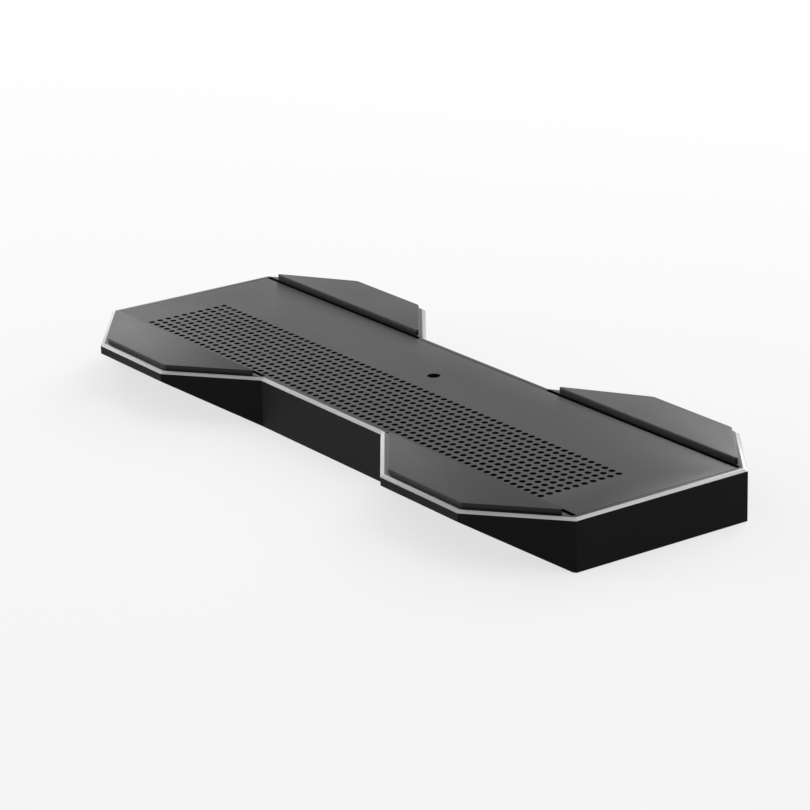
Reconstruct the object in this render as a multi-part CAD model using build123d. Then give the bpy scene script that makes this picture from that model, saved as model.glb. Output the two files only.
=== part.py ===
from build123d import *
import math
import os

# A stand for a games console, lying with its feet upwards, as it does on the console's end.
# Millimetres. X runs along the stand, Y across it, Z up. The rim that meets the console is at z = 0
# and the origin is at its middle.

# Outline
length = 240.0          # over the two end faces
spine_width = 61.2      # the centre body, over its two long walls
end_setback = 0.7       # how far inside the spine's walls a wing's slant meets the end face
span = 99.2             # over the wing tips
bay_foot = 31.2         # from the middle to where a wing leaves the spine
tip_start = 58.0        # from the middle to the inner end of a wing tip
tip_end = 93.8          # from the middle to the outer end of a wing tip

# Heights and edges
body_height = 15.3      # rim to top face
wing_fall = 0.72        # how far a wing's top slopes down, from the spine to its bevel
tip_height = 3.9        # from the top face down to where a wing's underside has run out
bevel_width = 1.14      # the bright edge line, seen from above
bevel_depth = 0.64      # and how far it drops
wall = 2.4              # side and end walls of the hollow

# Vent plate
plate_thickness = 2.0
plate_land = 1.25       # flat of the frame left between the bevel and the plate
plate_gap = 0.15        # all round the plate
ledge_width = 3.0       # what the plate sits on
ledge_thickness = 2.0

# Perforation in the plate
hole_sides = 3          # few, so that the many small holes stay light
hole_reach = 1.1        # from a hole's centre to its corners, with a 1.4 mm round hole's area
hole_pitch = 3.0
column_count = 68
row_count = 10
field_centre_y = -13.2
centre_hole_y = 10.8

# Wing tops
channel_width = 1.3     # the sunk groove beside the plate
channel_depth = 1.2
foot_lip = 1.0          # from the groove to a foot
foot_inset = 1.0        # from the bevel to a foot
foot_height = 1.53
foot_break = 0.12       # chamfer round a foot's tread

# Inside the hollow
rib_thickness = 1.2
rib_clearance = 0.3     # under the vent plate
seat_bar_x = 76.0       # from the middle to each bar that carries a console cushion
seat_bar_width = 12.0
cushion_width = 9.0
cushion_length = 46.0
cushion_height = 3.0
boss_d = 8.0
screw_hole_d = 4.0      # through the plate and the boss

end_width = spine_width - 2 * end_setback
seat_level = body_height - plate_thickness
hollow_top = seat_level - ledge_thickness
rib_top = seat_level - rib_clearance
hollow_length = length - 2 * wall
hollow_width = spine_width - 2 * wall
pocket_length = length - 2 * (bevel_width + plate_land)
pocket_width = spine_width - 2 * (bevel_width + plate_land)
channel_y = pocket_width / 2 + channel_width
foot_y = channel_y + foot_lip
crease_y = spine_width / 2 - bevel_width
wing_slope = math.degrees(math.atan2(wing_fall, span / 2 - bevel_width - crease_y))


def stand_outline(inset=0.0):
    """The sixteen-sided plan of the stand, drawn in by a distance."""
    quarter = [
        (length / 2, end_width / 2),
        (tip_end, span / 2),
        (tip_start, span / 2),
        (bay_foot, spine_width / 2),
    ]
    upper = quarter + [(-x, y) for x, y in reversed(quarter)]
    lower = [(-x, -y) for x, y in upper]
    plan = make_face(Polyline(*upper, *lower, close=True))
    return offset(plan, -inset, kind=Kind.INTERSECTION) if inset else plan


def slab(size_x, size_y, z_low, z_high, x=0.0, y=0.0):
    """An upright block between two heights, centred on a point of the plan."""
    middle = Pos(x, y, (z_low + z_high) / 2)
    return middle * Box(size_x, size_y, z_high - z_low)


def block(x_low, x_high, y_low, y_high, z_low, z_high):
    """An upright block between six planes."""
    middle = Pos((x_low + x_high) / 2, (y_low + y_high) / 2, (z_low + z_high) / 2)
    return middle * Box(x_high - x_low, y_high - y_low, z_high - z_low)


def post(diameter, z_low, z_high):
    """An upright cylinder on the screw's axis."""
    return Pos(0, centre_hole_y, z_low) * extrude(Circle(diameter / 2), z_high - z_low)


def tilted(shape):
    """A shape turned down with the far wings' tops, about the crease along the spine."""
    turn = Pos(0, crease_y, body_height) * Rot(X=-wing_slope) * Pos(0, -crease_y, -body_height)
    return turn * shape


def on_both_sides(shape):
    """A far side's shape and its mirror image, as a list."""
    return [shape, mirror(shape, about=Plane.XZ)]


def on_four_wings(shape):
    """The far right wing's shape and its mirror images, as a list."""
    return on_both_sides(shape) + on_both_sides(mirror(shape, about=Plane.YZ))


def bevelled_top():
    """All that lies under the top face and its bevel, with the wings' tops sloping away."""
    margin = bevel_width
    drop = 2 * bevel_depth
    flare = math.degrees(math.atan2(bevel_width, bevel_depth))
    level = slab(length + 2 * margin, span + 2 * margin, 0, body_height - drop)
    level += extrude(Pos(0, 0, body_height - drop) * stand_outline(-margin), drop, taper=flare)
    spine = level & slab(length + 2 * margin, 2 * crease_y, 0, body_height)
    beyond = block(-length, length, crease_y, span, 0, body_height)
    for wings in on_both_sides(tilted(level) & beyond):
        spine += wings
    return spine


def underside_cut():
    """What the slope under the far wings takes away."""
    slope = Polyline(
        (spine_width / 2, 0),
        (span / 2, body_height - tip_height),
        (span, body_height - tip_height),
        (span, -wall),
        (spine_width / 2, -wall),
        close=True,
    )
    return extrude(Plane.YZ * make_face(slope), length / 2, both=True)


def channel_cut():
    """The groove between the plate and the far right foot, ending short of the bevels."""
    x_low = bay_foot + bevel_width
    floor = body_height - channel_depth
    return block(x_low, pocket_length / 2, pocket_width / 2, channel_y, floor, body_height)


def base_frame():
    """The moulded frame: spine walls, four wedge wings, plate seat, ribs and bars."""
    body = extrude(stand_outline(), body_height) & bevelled_top()
    for slope in on_both_sides(underside_cut()):
        body -= slope

    body -= slab(hollow_length, hollow_width, 0, hollow_top)
    body -= slab(pocket_length - 2 * ledge_width, pocket_width - 2 * ledge_width, 0, body_height)
    body -= slab(pocket_length, pocket_width, seat_level, body_height)
    for channel in on_four_wings(channel_cut()):
        body -= channel

    body += slab(rib_thickness, hollow_width, cushion_height, rib_top)
    body += slab(2 * seat_bar_x, rib_thickness, cushion_height, rib_top, y=centre_hole_y)
    for side in (-1, 1):
        body += slab(seat_bar_width, hollow_width, cushion_height, hollow_top, x=side * seat_bar_x)
    body += post(boss_d, cushion_height, rib_top)
    return body - post(screw_hole_d, 0, body_height)


def vent_plate():
    """The perforated cover plate, with its off-centre field of holes."""
    outer = Rectangle(pocket_length - 2 * plate_gap, pocket_width - 2 * plate_gap).wire()
    hole = RegularPolygon(hole_reach, hole_sides).wire()
    field = Pos(0, field_centre_y) * GridLocations(hole_pitch, hole_pitch, column_count, row_count)
    screw_hole = Pos(0, centre_hole_y) * Circle(screw_hole_d / 2).wire()
    plan = Face(outer, [spot * hole for spot in field] + [screw_hole])
    return Pos(0, 0, seat_level) * extrude(plan, plate_thickness)


def rubber_foot():
    """The far right rubber foot, a trapezoid sheet on the sloping top of its wing."""
    wing = Rectangle(length / 2, span / 2 - foot_y, align=Align.MIN)
    plan = stand_outline(bevel_width + foot_inset) & Pos(0, foot_y) * wing
    foot = Pos(0, 0, body_height) * extrude(plan, foot_height)
    return tilted(chamfer(foot.faces().sort_by(Axis.Z)[-1].edges(), foot_break))


def console_cushion(side):
    """A soft strip under a seat bar, level with the rim."""
    return slab(cushion_width, cushion_length, 0, cushion_height, x=side * seat_bar_x)


parts = {
    "base_frame": base_frame(),
    "vent_plate": vent_plate(),
    "console_cushion_left": console_cushion(-1),
    "console_cushion_right": console_cushion(1),
}
foot_names = ["far_right", "near_right", "far_left", "near_left"]
for name, foot in zip(foot_names, on_four_wings(rubber_foot())):
    parts["foot_pad_" + name] = foot

os.makedirs("parts", exist_ok=True)
for name, shape in parts.items():
    export_step(shape, f"parts/{name}.step")
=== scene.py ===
import bpy
import math
from mathutils import Matrix, Vector


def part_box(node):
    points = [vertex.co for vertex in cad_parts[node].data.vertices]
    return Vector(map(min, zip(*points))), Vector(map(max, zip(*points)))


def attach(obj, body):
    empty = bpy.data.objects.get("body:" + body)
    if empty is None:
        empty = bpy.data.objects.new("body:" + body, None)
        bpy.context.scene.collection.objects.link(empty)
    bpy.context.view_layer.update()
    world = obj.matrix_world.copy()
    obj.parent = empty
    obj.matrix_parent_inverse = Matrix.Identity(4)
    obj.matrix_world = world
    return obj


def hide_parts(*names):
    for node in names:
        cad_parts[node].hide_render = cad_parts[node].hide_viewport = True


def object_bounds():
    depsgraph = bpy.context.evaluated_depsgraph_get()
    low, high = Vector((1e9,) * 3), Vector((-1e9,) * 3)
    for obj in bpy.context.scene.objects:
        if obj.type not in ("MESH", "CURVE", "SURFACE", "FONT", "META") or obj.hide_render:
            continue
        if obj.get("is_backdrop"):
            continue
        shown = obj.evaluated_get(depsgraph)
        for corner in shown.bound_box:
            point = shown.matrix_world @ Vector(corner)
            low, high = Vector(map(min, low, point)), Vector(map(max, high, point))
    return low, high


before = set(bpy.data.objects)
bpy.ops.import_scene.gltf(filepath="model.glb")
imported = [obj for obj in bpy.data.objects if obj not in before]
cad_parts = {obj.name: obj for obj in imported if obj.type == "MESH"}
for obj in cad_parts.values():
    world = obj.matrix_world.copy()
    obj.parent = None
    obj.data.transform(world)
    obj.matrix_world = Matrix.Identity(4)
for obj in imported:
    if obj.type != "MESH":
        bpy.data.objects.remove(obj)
bpy.ops.object.select_all(action="DESELECT")
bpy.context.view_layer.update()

MM = 0.001

# The vent plate's round holes and its screw hole
HOLE_PITCH = 3.0 * MM
HOLE_RADIUS = 1.02 * MM
HOLE_SIDES = 12
HOLE_TURN = math.radians(45)    # lines a hole's first point up with its square's corner
COLUMNS = 68
ROWS = 10
FIELD_CENTRE_Y = -13.2 * MM
SCREW_HOLE_Y = 10.8 * MM
SCREW_HOLE_RADIUS = 2.0 * MM
SCREW_HOLE_SIDES = 48
PLATE_EDGE = 0.12 * MM          # the rounding round the plate's top

# The rubber feet
FOOT_EDGE = 0.20 * MM           # the rounding round a tread
FOOT_TIP_ROUND = 1.8 * MM       # the sharp corners beside the plate
FOOT_CORNER_ROUND = 0.8 * MM    # the blunt corners at the wing's tip
FOOT_REACH = 0.2 * MM           # how far a foot is drawn out towards the plate
FOOT_SPARE = 0.01 * MM          # and how much thinner it is, to keep to the part's height
ROUND_STEPS = 5

# The soft strips at the rim
CUSHION_EDGE = 0.7 * MM

# Mesh work
EDGE_STEPS = 3                  # faces across a rounded edge
WELD = 0.002 * MM
SAME_PLACE = 0.1 * MM
ON_CIRCLE = 1.01                # how far out, in radii, a point may lie and still be on the circle
SAME_PLANE = math.radians(0.4)
SHARP = math.radians(24)
SMOOTH = math.radians(35)

# The frame's finishes: silver where a face leans outwards by about the bevel's own angle, satin on the top,
# and on the walls a darker, less glossy copy of the plastic that paints shade onto them
SHADED_WALL_FINISH = 0
TRIM_FINISH = 1
TOP_FINISH = 2
TRIM_LEAN_LOW = 0.82
TRIM_LEAN_HIGH = 0.94
TOP_FACES_ABOVE = 14.3 * MM

# Noise in the materials, in features to a millimetre, and the part of its range that is used
PLASTIC_PATCHES = 0.035
TRIM_PATCHES = 0.06
PATCH_DETAIL = 3.0
GRAIN_DETAIL = 2.0
NOISE_LOW = 0.3
NOISE_HIGH = 0.7

# The silver line
TRIM_DARK = (0.30, 0.30, 0.30)
TRIM_LIGHT = (0.36, 0.36, 0.36)
TRIM_ROUGH = (0.30, 0.36)
TRIM_METAL = 0.5
TRIM_GRAIN = 3.0
TRIM_GRAIN_DEPTH = 0.01 * MM
TRIM_GRAIN_STRENGTH = 0.5

# The camera, as it stood in the photograph, in metres from the middle of the rim
CAMERA_PLACE = Vector((0.7351, -0.5147, 0.3190))
CAMERA_RIGHT = Vector((0.5952, 0.8033, -0.0180))
CAMERA_UP = Vector((-0.3513, 0.2803, 0.8933))
SENSOR_WIDTH = 36.0             # millimetres, as the lens is
FRAME_FILL = 0.98
CLIP_START = 0.01
CLIP_END = 50

# Surround and floor
WORLD_STRENGTH = 0.42           # the light that the surround gives
BACKGROUND = 1.0                # and how bright it looks
FLOOR_SIZE = 12.0
FLOOR_DROP = 0.2 * MM           # under the rim
FLOOR_WHITE = 0.90
FLOOR_GLOW = 0.7                # the share of its look that no shadow darkens

# Each lamp's name, place and size in metres, and power in watts
LAMPS = [
    ("left_box", (-1.1, 0.05, 0.38), (1.0, 0.8), 3.4),
    ("back_box", (-0.45, 1.05, 0.50), (0.5, 0.5), 5.0),
    ("top_box", (0.1, 0.7, 1.2), (1.3, 1.3), 6.0),
    ("front_box", (-0.75, -0.75, 0.2), (0.4, 0.3), 3.5),
]


def activate(obj):
    """Makes one object the only selected one, and the active one."""
    bpy.ops.object.select_all(action="DESELECT")
    obj.select_set(True)
    bpy.context.view_layer.objects.active = obj


def edit(obj, mode):
    """Enters edit mode on one object with nothing selected in it."""
    activate(obj)
    bpy.ops.object.mode_set(mode="EDIT")
    bpy.ops.mesh.select_mode(type=mode)
    bpy.ops.mesh.select_all(action="DESELECT")


def leave_edit():
    """Goes back to object mode."""
    bpy.ops.object.mode_set(mode="OBJECT")


def choose(obj, domain, test):
    """Enters edit mode on one object with the vertices, edges or polygons that pass a test selected."""
    activate(obj)
    domains = ("vertices", "edges", "polygons")
    bpy.context.tool_settings.mesh_select_mode = [kind == domain for kind in domains]
    for kind in domains:
        items = getattr(obj.data, kind)
        items.foreach_set("select", [False] * len(items))
    for item in getattr(obj.data, domain):
        item.select = bool(test(item))
    bpy.ops.object.mode_set(mode="EDIT")


def edge_ends(obj, edge):
    """The two end points of an edge."""
    return [obj.data.vertices[i].co for i in edge.vertices]


def soften(obj, width):
    """Rounds every sharp edge of a piece."""
    activate(obj)
    modifier = obj.modifiers.new("edges", "BEVEL")
    modifier.width = width
    modifier.segments = EDGE_STEPS
    modifier.limit_method = "ANGLE"
    modifier.angle_limit = SHARP
    modifier.use_clamp_overlap = False
    modifier.harden_normals = False
    bpy.ops.object.modifier_apply(modifier=modifier.name)


def smooth(obj):
    """Shades a piece smooth, apart from its sharp edges."""
    activate(obj)
    bpy.ops.object.shade_smooth_by_angle(angle=SMOOTH)


def welded_copy(node, name):
    """A copy of a CAD solid with its triangles joined into whole faces."""
    piece = bpy.data.objects.new(name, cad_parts[node].data.copy())
    bpy.context.scene.collection.objects.link(piece)
    piece.data.materials.clear()
    edit(piece, "VERT")
    bpy.ops.mesh.select_all(action="SELECT")
    bpy.ops.mesh.customdata_custom_splitnormals_clear()
    bpy.ops.mesh.remove_doubles(threshold=WELD)
    bpy.ops.mesh.dissolve_limited(angle_limit=SAME_PLANE)
    bpy.ops.mesh.normals_make_consistent(inside=False)
    leave_edit()
    return piece


def new_material(name):
    """An empty node material, its shader and a function that adds nodes to it."""
    material = bpy.data.materials.new(name)
    material.use_nodes = True
    tree = material.node_tree
    shader = tree.nodes["Principled BSDF"]

    def add(kind, **inputs):
        node = tree.nodes.new(kind)
        for key, value in inputs.items():
            node.inputs[key.replace("_", " ")].default_value = value
        return node

    return material, tree, shader, add


def place_nodes(tree, add):
    """Object coordinates in millimetres."""
    coordinates = add("ShaderNodeTexCoord")
    scale = add("ShaderNodeVectorMath")
    scale.operation = "SCALE"
    scale.inputs["Scale"].default_value = 1 / MM
    tree.links.new(coordinates.outputs["Object"], scale.inputs[0])
    return scale.outputs[0]


def noise(tree, add, place, per_mm, detail=GRAIN_DETAIL):
    """A noise of so many features a millimetre."""
    node = add("ShaderNodeTexNoise", Scale=per_mm, Detail=detail)
    tree.links.new(place, node.inputs["Vector"])
    return node.outputs["Fac"]


def spread(tree, add, value, low, high):
    """Turns a noise into a value between two limits."""
    node = add("ShaderNodeMapRange")
    node.inputs["From Min"].default_value = NOISE_LOW
    node.inputs["From Max"].default_value = NOISE_HIGH
    node.inputs["To Min"].default_value = low
    node.inputs["To Max"].default_value = high
    tree.links.new(value, node.inputs["Value"])
    return node.outputs["Result"]


def tint(tree, add, value, dark, light):
    """A colour between two greys, by a noise."""
    ramp = add("ShaderNodeValToRGB")
    ramp.color_ramp.elements[0].position = NOISE_LOW
    ramp.color_ramp.elements[0].color = (*dark, 1)
    ramp.color_ramp.elements[1].position = NOISE_HIGH
    ramp.color_ramp.elements[1].color = (*light, 1)
    tree.links.new(value, ramp.inputs["Fac"])
    return ramp.outputs["Color"]


def bump(tree, add, height, shader, distance, strength=1.0):
    """Lays a height under the shader's normal."""
    node = add("ShaderNodeBump", Strength=strength, Distance=distance)
    tree.links.new(height, node.inputs["Height"])
    tree.links.new(node.outputs["Normal"], shader.inputs["Normal"])


def black_plastic(name, dark, light, rough, specular, grain, depth):
    """Black plastic or rubber with a fine grain, slightly uneven in tone and gloss."""
    material, tree, shader, add = new_material(name)
    place = place_nodes(tree, add)
    patches = noise(tree, add, place, PLASTIC_PATCHES, PATCH_DETAIL)
    fine = noise(tree, add, place, grain)
    tree.links.new(tint(tree, add, patches, dark, light), shader.inputs["Base Color"])
    tree.links.new(spread(tree, add, patches, *rough), shader.inputs["Roughness"])
    shader.inputs["Specular IOR Level"].default_value = specular
    bump(tree, add, fine, shader, depth)
    return material


def silver_trim(name):
    """The pale foil-like line on the bevel."""
    material, tree, shader, add = new_material(name)
    place = place_nodes(tree, add)
    patches = noise(tree, add, place, TRIM_PATCHES, PATCH_DETAIL)
    fine = noise(tree, add, place, TRIM_GRAIN)
    tree.links.new(tint(tree, add, patches, TRIM_DARK, TRIM_LIGHT), shader.inputs["Base Color"])
    tree.links.new(spread(tree, add, fine, *TRIM_ROUGH), shader.inputs["Roughness"])
    shader.inputs["Metallic"].default_value = TRIM_METAL
    bump(tree, add, fine, shader, TRIM_GRAIN_DEPTH, TRIM_GRAIN_STRENGTH)
    return material


# Darkest and lightest tone, least and most roughness, specular level, grains to a millimetre and their depth
# The frame's walls take a darker, less glossy copy of the plate's plastic: painted shade on the walls.
frame_plastic = black_plastic(
    "frame_plastic", (0.0028, 0.0028, 0.0030), (0.0038, 0.0038, 0.0040), (0.40, 0.46), 0.075, 2.2, 0.02 * MM)
plate_plastic = black_plastic(
    "plate_plastic", (0.0050, 0.0050, 0.0053), (0.0064, 0.0064, 0.0067), (0.34, 0.39), 0.22, 2.6, 0.015 * MM)
foot_rubber = black_plastic(
    "foot_rubber", (0.0060, 0.0060, 0.0063), (0.0080, 0.0080, 0.0084), (0.38, 0.44), 0.235, 1.6, 0.02 * MM)
cushion_rubber = black_plastic(
    "cushion_rubber", (0.010, 0.010, 0.010), (0.016, 0.016, 0.016), (0.70, 0.80), 0.30, 1.2, 0.05 * MM)
trim = silver_trim("silver_trim")


def finish_piece(piece, material, node):
    """Gives a piece its material and its place in the frame."""
    if not piece.data.materials:
        piece.data.materials.append(material)
    smooth(piece)
    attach(piece, "root")
    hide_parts(node)


def frame_finish(face):
    """Which of the frame's finishes a face has; the walls get the darker plastic that is painted shade."""
    if TRIM_LEAN_LOW < face.normal.z < TRIM_LEAN_HIGH:
        return TRIM_FINISH
    if face.normal.z >= TRIM_LEAN_HIGH and face.center.z > TOP_FACES_ABOVE:
        return TOP_FINISH
    # every other face takes the darker wall plastic, painted shade
    return SHADED_WALL_FINISH


def make_frame():
    """The moulded frame, with its silver bevel, satin top and walls in a darker, duller plastic as painted
    shade.
    """
    piece = welded_copy("base_frame", "frame_moulding")
    for material in (frame_plastic, trim, plate_plastic):
        piece.data.materials.append(material)
    for face in piece.data.polygons:
        face.material_index = frame_finish(face)
    finish_piece(piece, frame_plastic, "base_frame")


def make_hole_cell():
    """One flat square of the perforation with its round hole, about the origin."""
    bpy.ops.mesh.primitive_plane_add(size=HOLE_PITCH)
    cell = bpy.context.active_object
    cell.name = "vent_grille"
    edit(cell, "EDGE")
    bpy.ops.mesh.select_all(action="SELECT")
    bpy.ops.mesh.delete(type="ONLY_FACE")
    bpy.ops.mesh.select_all(action="SELECT")
    bpy.ops.mesh.subdivide(number_cuts=HOLE_SIDES // 4 - 1)
    bpy.ops.mesh.select_all(action="DESELECT")
    bpy.ops.mesh.primitive_circle_add(
        vertices=HOLE_SIDES, radius=HOLE_RADIUS, rotation=(0, 0, HOLE_TURN))
    bpy.ops.mesh.select_all(action="SELECT")
    bpy.ops.mesh.bridge_edge_loops()
    leave_edit()
    return cell


def repeat(obj, count, step):
    """Repeats a mesh along a step, welding what meets."""
    activate(obj)
    modifier = obj.modifiers.new("repeat", "ARRAY")
    modifier.count = count
    modifier.use_relative_offset = False
    modifier.use_constant_offset = True
    modifier.constant_offset_displace = step
    modifier.use_merge_vertices = True
    modifier.merge_threshold = WELD
    bpy.ops.object.modifier_apply(modifier=modifier.name)


def is_outer_edge(obj, edge, half_x, half_y, centre_y):
    """Whether an edge lies on a rectangle about a centre."""
    ends = edge_ends(obj, edge)
    on_x = all(abs(abs(p.x) - half_x) < WELD for p in ends)
    on_y = all(abs(abs(p.y - centre_y) - half_y) < WELD for p in ends)
    return on_x or on_y


def make_hole_field(half_x, half_y):
    """The flat field of round holes, in its place on the plate."""
    field = make_hole_cell()
    repeat(field, COLUMNS, (HOLE_PITCH, 0, 0))
    repeat(field, ROWS, (0, HOLE_PITCH, 0))
    first = Vector((HOLE_PITCH / 2 - half_x, FIELD_CENTRE_Y + HOLE_PITCH / 2 - half_y, 0))
    edit(field, "EDGE")
    bpy.ops.mesh.select_all(action="SELECT")
    bpy.ops.transform.translate(value=first)
    leave_edit()
    return field


def add_margin(plate, low, high, half_x, half_y):
    """Fills the flat plate between the field, the screw hole and the plate's own edge."""
    edit(plate, "EDGE")
    bpy.ops.mesh.primitive_plane_add(size=1, location=(0, 0, 0))
    bpy.ops.transform.resize(value=(high.x - low.x, high.y - low.y, 1))
    bpy.ops.mesh.delete(type="ONLY_FACE")
    bpy.ops.mesh.primitive_circle_add(
        vertices=SCREW_HOLE_SIDES, radius=SCREW_HOLE_RADIUS, location=(0, SCREW_HOLE_Y, 0))
    leave_edit()
    reach = SCREW_HOLE_RADIUS * ON_CIRCLE

    def bounds_margin(edge):
        ends = edge_ends(plate, edge)
        on_rim = is_outer_edge(plate, edge, high.x, high.y, 0)
        on_screw = all(math.hypot(p.x, p.y - SCREW_HOLE_Y) < reach for p in ends)
        return on_rim or on_screw or is_outer_edge(plate, edge, half_x, half_y, FIELD_CENTRE_Y)

    choose(plate, "edges", bounds_margin)
    bpy.ops.mesh.fill(use_beauty=True)
    leave_edit()


def round_plate_rim(plate, high):
    """Rounds the plate's outer top edge."""

    def on_rim(edge):
        on_top = all(abs(p.z - high.z) < WELD for p in edge_ends(plate, edge))
        return on_top and is_outer_edge(plate, edge, high.x, high.y, 0)

    choose(plate, "edges", on_rim)
    bpy.ops.mesh.bevel(offset=PLATE_EDGE, segments=EDGE_STEPS, affect="EDGES")
    leave_edit()


def make_plate():
    """The vent plate: the field of round holes, its plain margin and the screw hole."""
    low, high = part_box("vent_plate")
    half_x = COLUMNS * HOLE_PITCH / 2
    half_y = ROWS * HOLE_PITCH / 2
    plate = make_hole_field(half_x, half_y)
    add_margin(plate, low, high, half_x, half_y)
    edit(plate, "EDGE")
    bpy.ops.mesh.select_all(action="SELECT")
    bpy.ops.mesh.normals_make_consistent(inside=False)
    bpy.ops.mesh.extrude_region_move(TRANSFORM_OT_translate={"value": (0, 0, low.z - high.z)})
    bpy.ops.mesh.select_all(action="SELECT")
    bpy.ops.transform.translate(value=(0, 0, high.z))
    bpy.ops.mesh.normals_make_consistent(inside=False)
    leave_edit()
    round_plate_rim(plate, high)
    finish_piece(plate, plate_plastic, "vent_plate")


def round_corners(foot, test, reach):
    """Rounds the corners of a flat outline that pass a test."""
    choose(foot, "vertices", test)
    bpy.ops.mesh.bevel(offset=reach, segments=ROUND_STEPS, affect="VERTICES")
    leave_edit()


def keep_sole(foot):
    """Leaves a foot only its flat sole, and gives the way up from it and the foot's thickness."""
    faces = foot.data.polygons
    sole = min(faces, key=lambda face: face.normal.z)
    tread = max(faces, key=lambda face: face.normal.z)
    sole_index = sole.index
    up = -sole.normal.copy()
    thickness = (tread.center - sole.center).dot(up) - FOOT_SPARE
    choose(foot, "polygons", lambda face: face.index != sole_index)
    bpy.ops.mesh.delete(type="FACE")
    leave_edit()
    return up, thickness


def shape_sole(foot, up):
    """Draws the sole out towards the plate and rounds its corners."""
    inner = min(abs(v.co.y) for v in foot.data.vertices)
    outer = max(abs(v.co.y) for v in foot.data.vertices)
    spineward = Vector((0, -math.copysign(1, foot.data.vertices[0].co.y), 0))
    spineward -= up * spineward.dot(up)
    choose(foot, "vertices", lambda v: abs(v.co.y) < inner + SAME_PLACE)
    bpy.ops.transform.translate(value=spineward * FOOT_REACH)
    leave_edit()
    round_corners(foot, lambda v: abs(v.co.y) < inner + SAME_PLACE, FOOT_TIP_ROUND)
    round_corners(foot, lambda v: abs(v.co.y) > outer - SAME_PLACE, FOOT_CORNER_ROUND)


def make_foot(side):
    """One rubber foot: its sole with rounded corners, its thickness and a rounded tread."""
    node = "foot_pad_" + side
    foot = welded_copy(node, "rubber_foot_" + side)
    up, thickness = keep_sole(foot)
    shape_sole(foot, up)
    base = foot.data.vertices[0].co.dot(up)
    edit(foot, "FACE")
    bpy.ops.mesh.select_all(action="SELECT")
    bpy.ops.mesh.extrude_region_move(TRANSFORM_OT_translate={"value": up * thickness})
    bpy.ops.mesh.select_all(action="SELECT")
    bpy.ops.mesh.normals_make_consistent(inside=False)
    leave_edit()
    middle = base + thickness / 2
    choose(foot, "edges", lambda edge: all(p.dot(up) > middle for p in edge_ends(foot, edge)))
    bpy.ops.mesh.bevel(offset=FOOT_EDGE, segments=EDGE_STEPS, affect="EDGES")
    leave_edit()
    finish_piece(foot, foot_rubber, node)


def make_cushion(side):
    """One soft strip at the rim, under a seat bar."""
    node = "console_cushion_" + side
    piece = welded_copy(node, "soft_strip_" + side)
    soften(piece, CUSHION_EDGE)
    finish_piece(piece, cushion_rubber, node)


make_frame()
make_plate()
for side in ("far_right", "near_right", "far_left", "near_left"):
    make_foot(side)
for side in ("left", "right"):
    make_cushion(side)


def seen_or_mirrored(tree):
    """1 for rays from the camera, off gloss or through glass, and 0 for the rays that light things."""
    path = tree.nodes.new("ShaderNodeLightPath")
    gloss = tree.nodes.new("ShaderNodeMath")
    gloss.operation = "MAXIMUM"
    tree.links.new(path.outputs["Is Camera Ray"], gloss.inputs[0])
    tree.links.new(path.outputs["Is Glossy Ray"], gloss.inputs[1])
    glass = tree.nodes.new("ShaderNodeMath")
    glass.operation = "MAXIMUM"
    tree.links.new(gloss.outputs[0], glass.inputs[0])
    tree.links.new(path.outputs["Is Transmission Ray"], glass.inputs[1])
    return glass.outputs[0]


def make_world():
    """A plain soft surround: white where it is seen or mirrored, and a lower light everywhere else."""
    world = bpy.data.worlds.new("surround")
    bpy.context.scene.world = world
    world.use_nodes = True
    tree = world.node_tree
    background = tree.nodes["Background"]
    background.inputs["Color"].default_value = (1, 1, 1, 1)
    strength = tree.nodes.new("ShaderNodeMix")
    strength.data_type = "FLOAT"
    strength.inputs["A"].default_value = WORLD_STRENGTH
    strength.inputs["B"].default_value = BACKGROUND
    tree.links.new(seen_or_mirrored(tree), strength.inputs["Factor"])
    tree.links.new(strength.outputs["Result"], background.inputs["Strength"])


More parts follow.
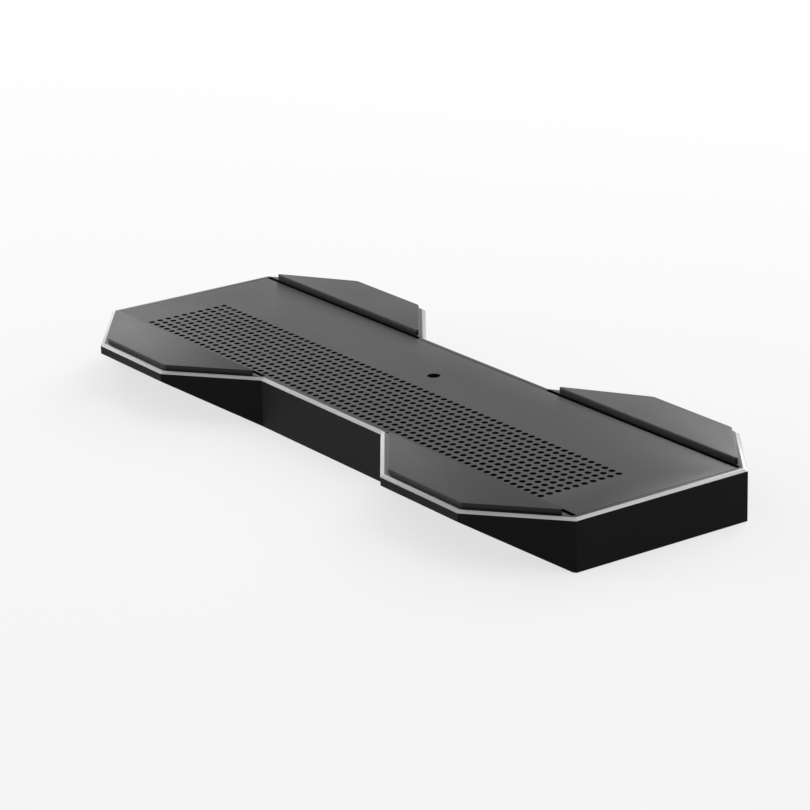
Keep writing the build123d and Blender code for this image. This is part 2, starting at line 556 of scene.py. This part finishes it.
def make_floor():
    """A wide white floor that still takes the stand's shadow."""
    bpy.ops.mesh.primitive_plane_add(size=FLOOR_SIZE, location=(0, 0, -FLOOR_DROP))
    floor = bpy.context.active_object
    floor.name = "floor"
    material, tree, shader, add = new_material("floor_white")
    shader.inputs["Base Color"].default_value = (FLOOR_WHITE, FLOOR_WHITE, FLOOR_WHITE, 1)
    shader.inputs["Roughness"].default_value = 1.0
    shader.inputs["Specular IOR Level"].default_value = 0.0
    glow = add("ShaderNodeEmission")
    glow.inputs["Strength"].default_value = BACKGROUND
    share = add("ShaderNodeMath")
    share.operation = "MULTIPLY"
    share.inputs[1].default_value = FLOOR_GLOW
    tree.links.new(seen_or_mirrored(tree), share.inputs[0])
    mix = add("ShaderNodeMixShader")
    tree.links.new(share.outputs[0], mix.inputs[0])
    tree.links.new(shader.outputs[0], mix.inputs[1])
    tree.links.new(glow.outputs[0], mix.inputs[2])
    tree.links.new(mix.outputs[0], tree.nodes["Material Output"].inputs["Surface"])
    floor.data.materials.append(material)
    floor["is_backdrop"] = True


def make_light(name, place, size, power):
    """A soft rectangular lamp that faces the middle of the rim."""
    data = bpy.data.lights.new(name, "AREA")
    data.shape = "RECTANGLE"
    data.size, data.size_y = size
    data.energy = power
    lamp = bpy.data.objects.new(name, data)
    bpy.context.scene.collection.objects.link(lamp)
    lamp.location = place
    lamp.rotation_mode = "QUATERNION"
    lamp.visible_camera = False
    lamp.rotation_quaternion = (-Vector(place)).to_track_quat("-Z", "Y")


def make_camera():
    """The photograph's point of view, turned onto the stand and brought closer by a longer lens."""
    low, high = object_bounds()
    corners = [
        Vector((x, y, z)) for x in (low.x, high.x) for y in (low.y, high.y) for z in (low.z, high.z)
    ]
    back = CAMERA_RIGHT.cross(CAMERA_UP).normalized()
    turn = (-back).rotation_difference((low + high) / 2 - CAMERA_PLACE).to_matrix()
    columns = [turn @ axis for axis in (CAMERA_RIGHT.normalized(), CAMERA_UP, back)]
    columns[1] = columns[2].cross(columns[0]).normalized()
    basis = Matrix(columns).transposed()
    data = bpy.data.cameras.new("photo_camera")
    data.sensor_width = SENSOR_WIDTH
    camera = bpy.data.objects.new("photo_camera", data)
    bpy.context.scene.collection.objects.link(camera)
    camera.matrix_world = Matrix.Translation(CAMERA_PLACE) @ basis.to_4x4()
    seen = [basis.transposed() @ (corner - CAMERA_PLACE) for corner in corners]
    widest = max(abs(p.x / p.z) for p in seen)
    data.lens = SENSOR_WIDTH * FRAME_FILL / (2 * widest)
    data.clip_start = CLIP_START
    data.clip_end = CLIP_END
    bpy.context.scene.camera = camera


make_world()
make_floor()
for lamp in LAMPS:
    make_light(*lamp)
make_camera()

bpy.context.scene.view_settings.view_transform = "Standard"
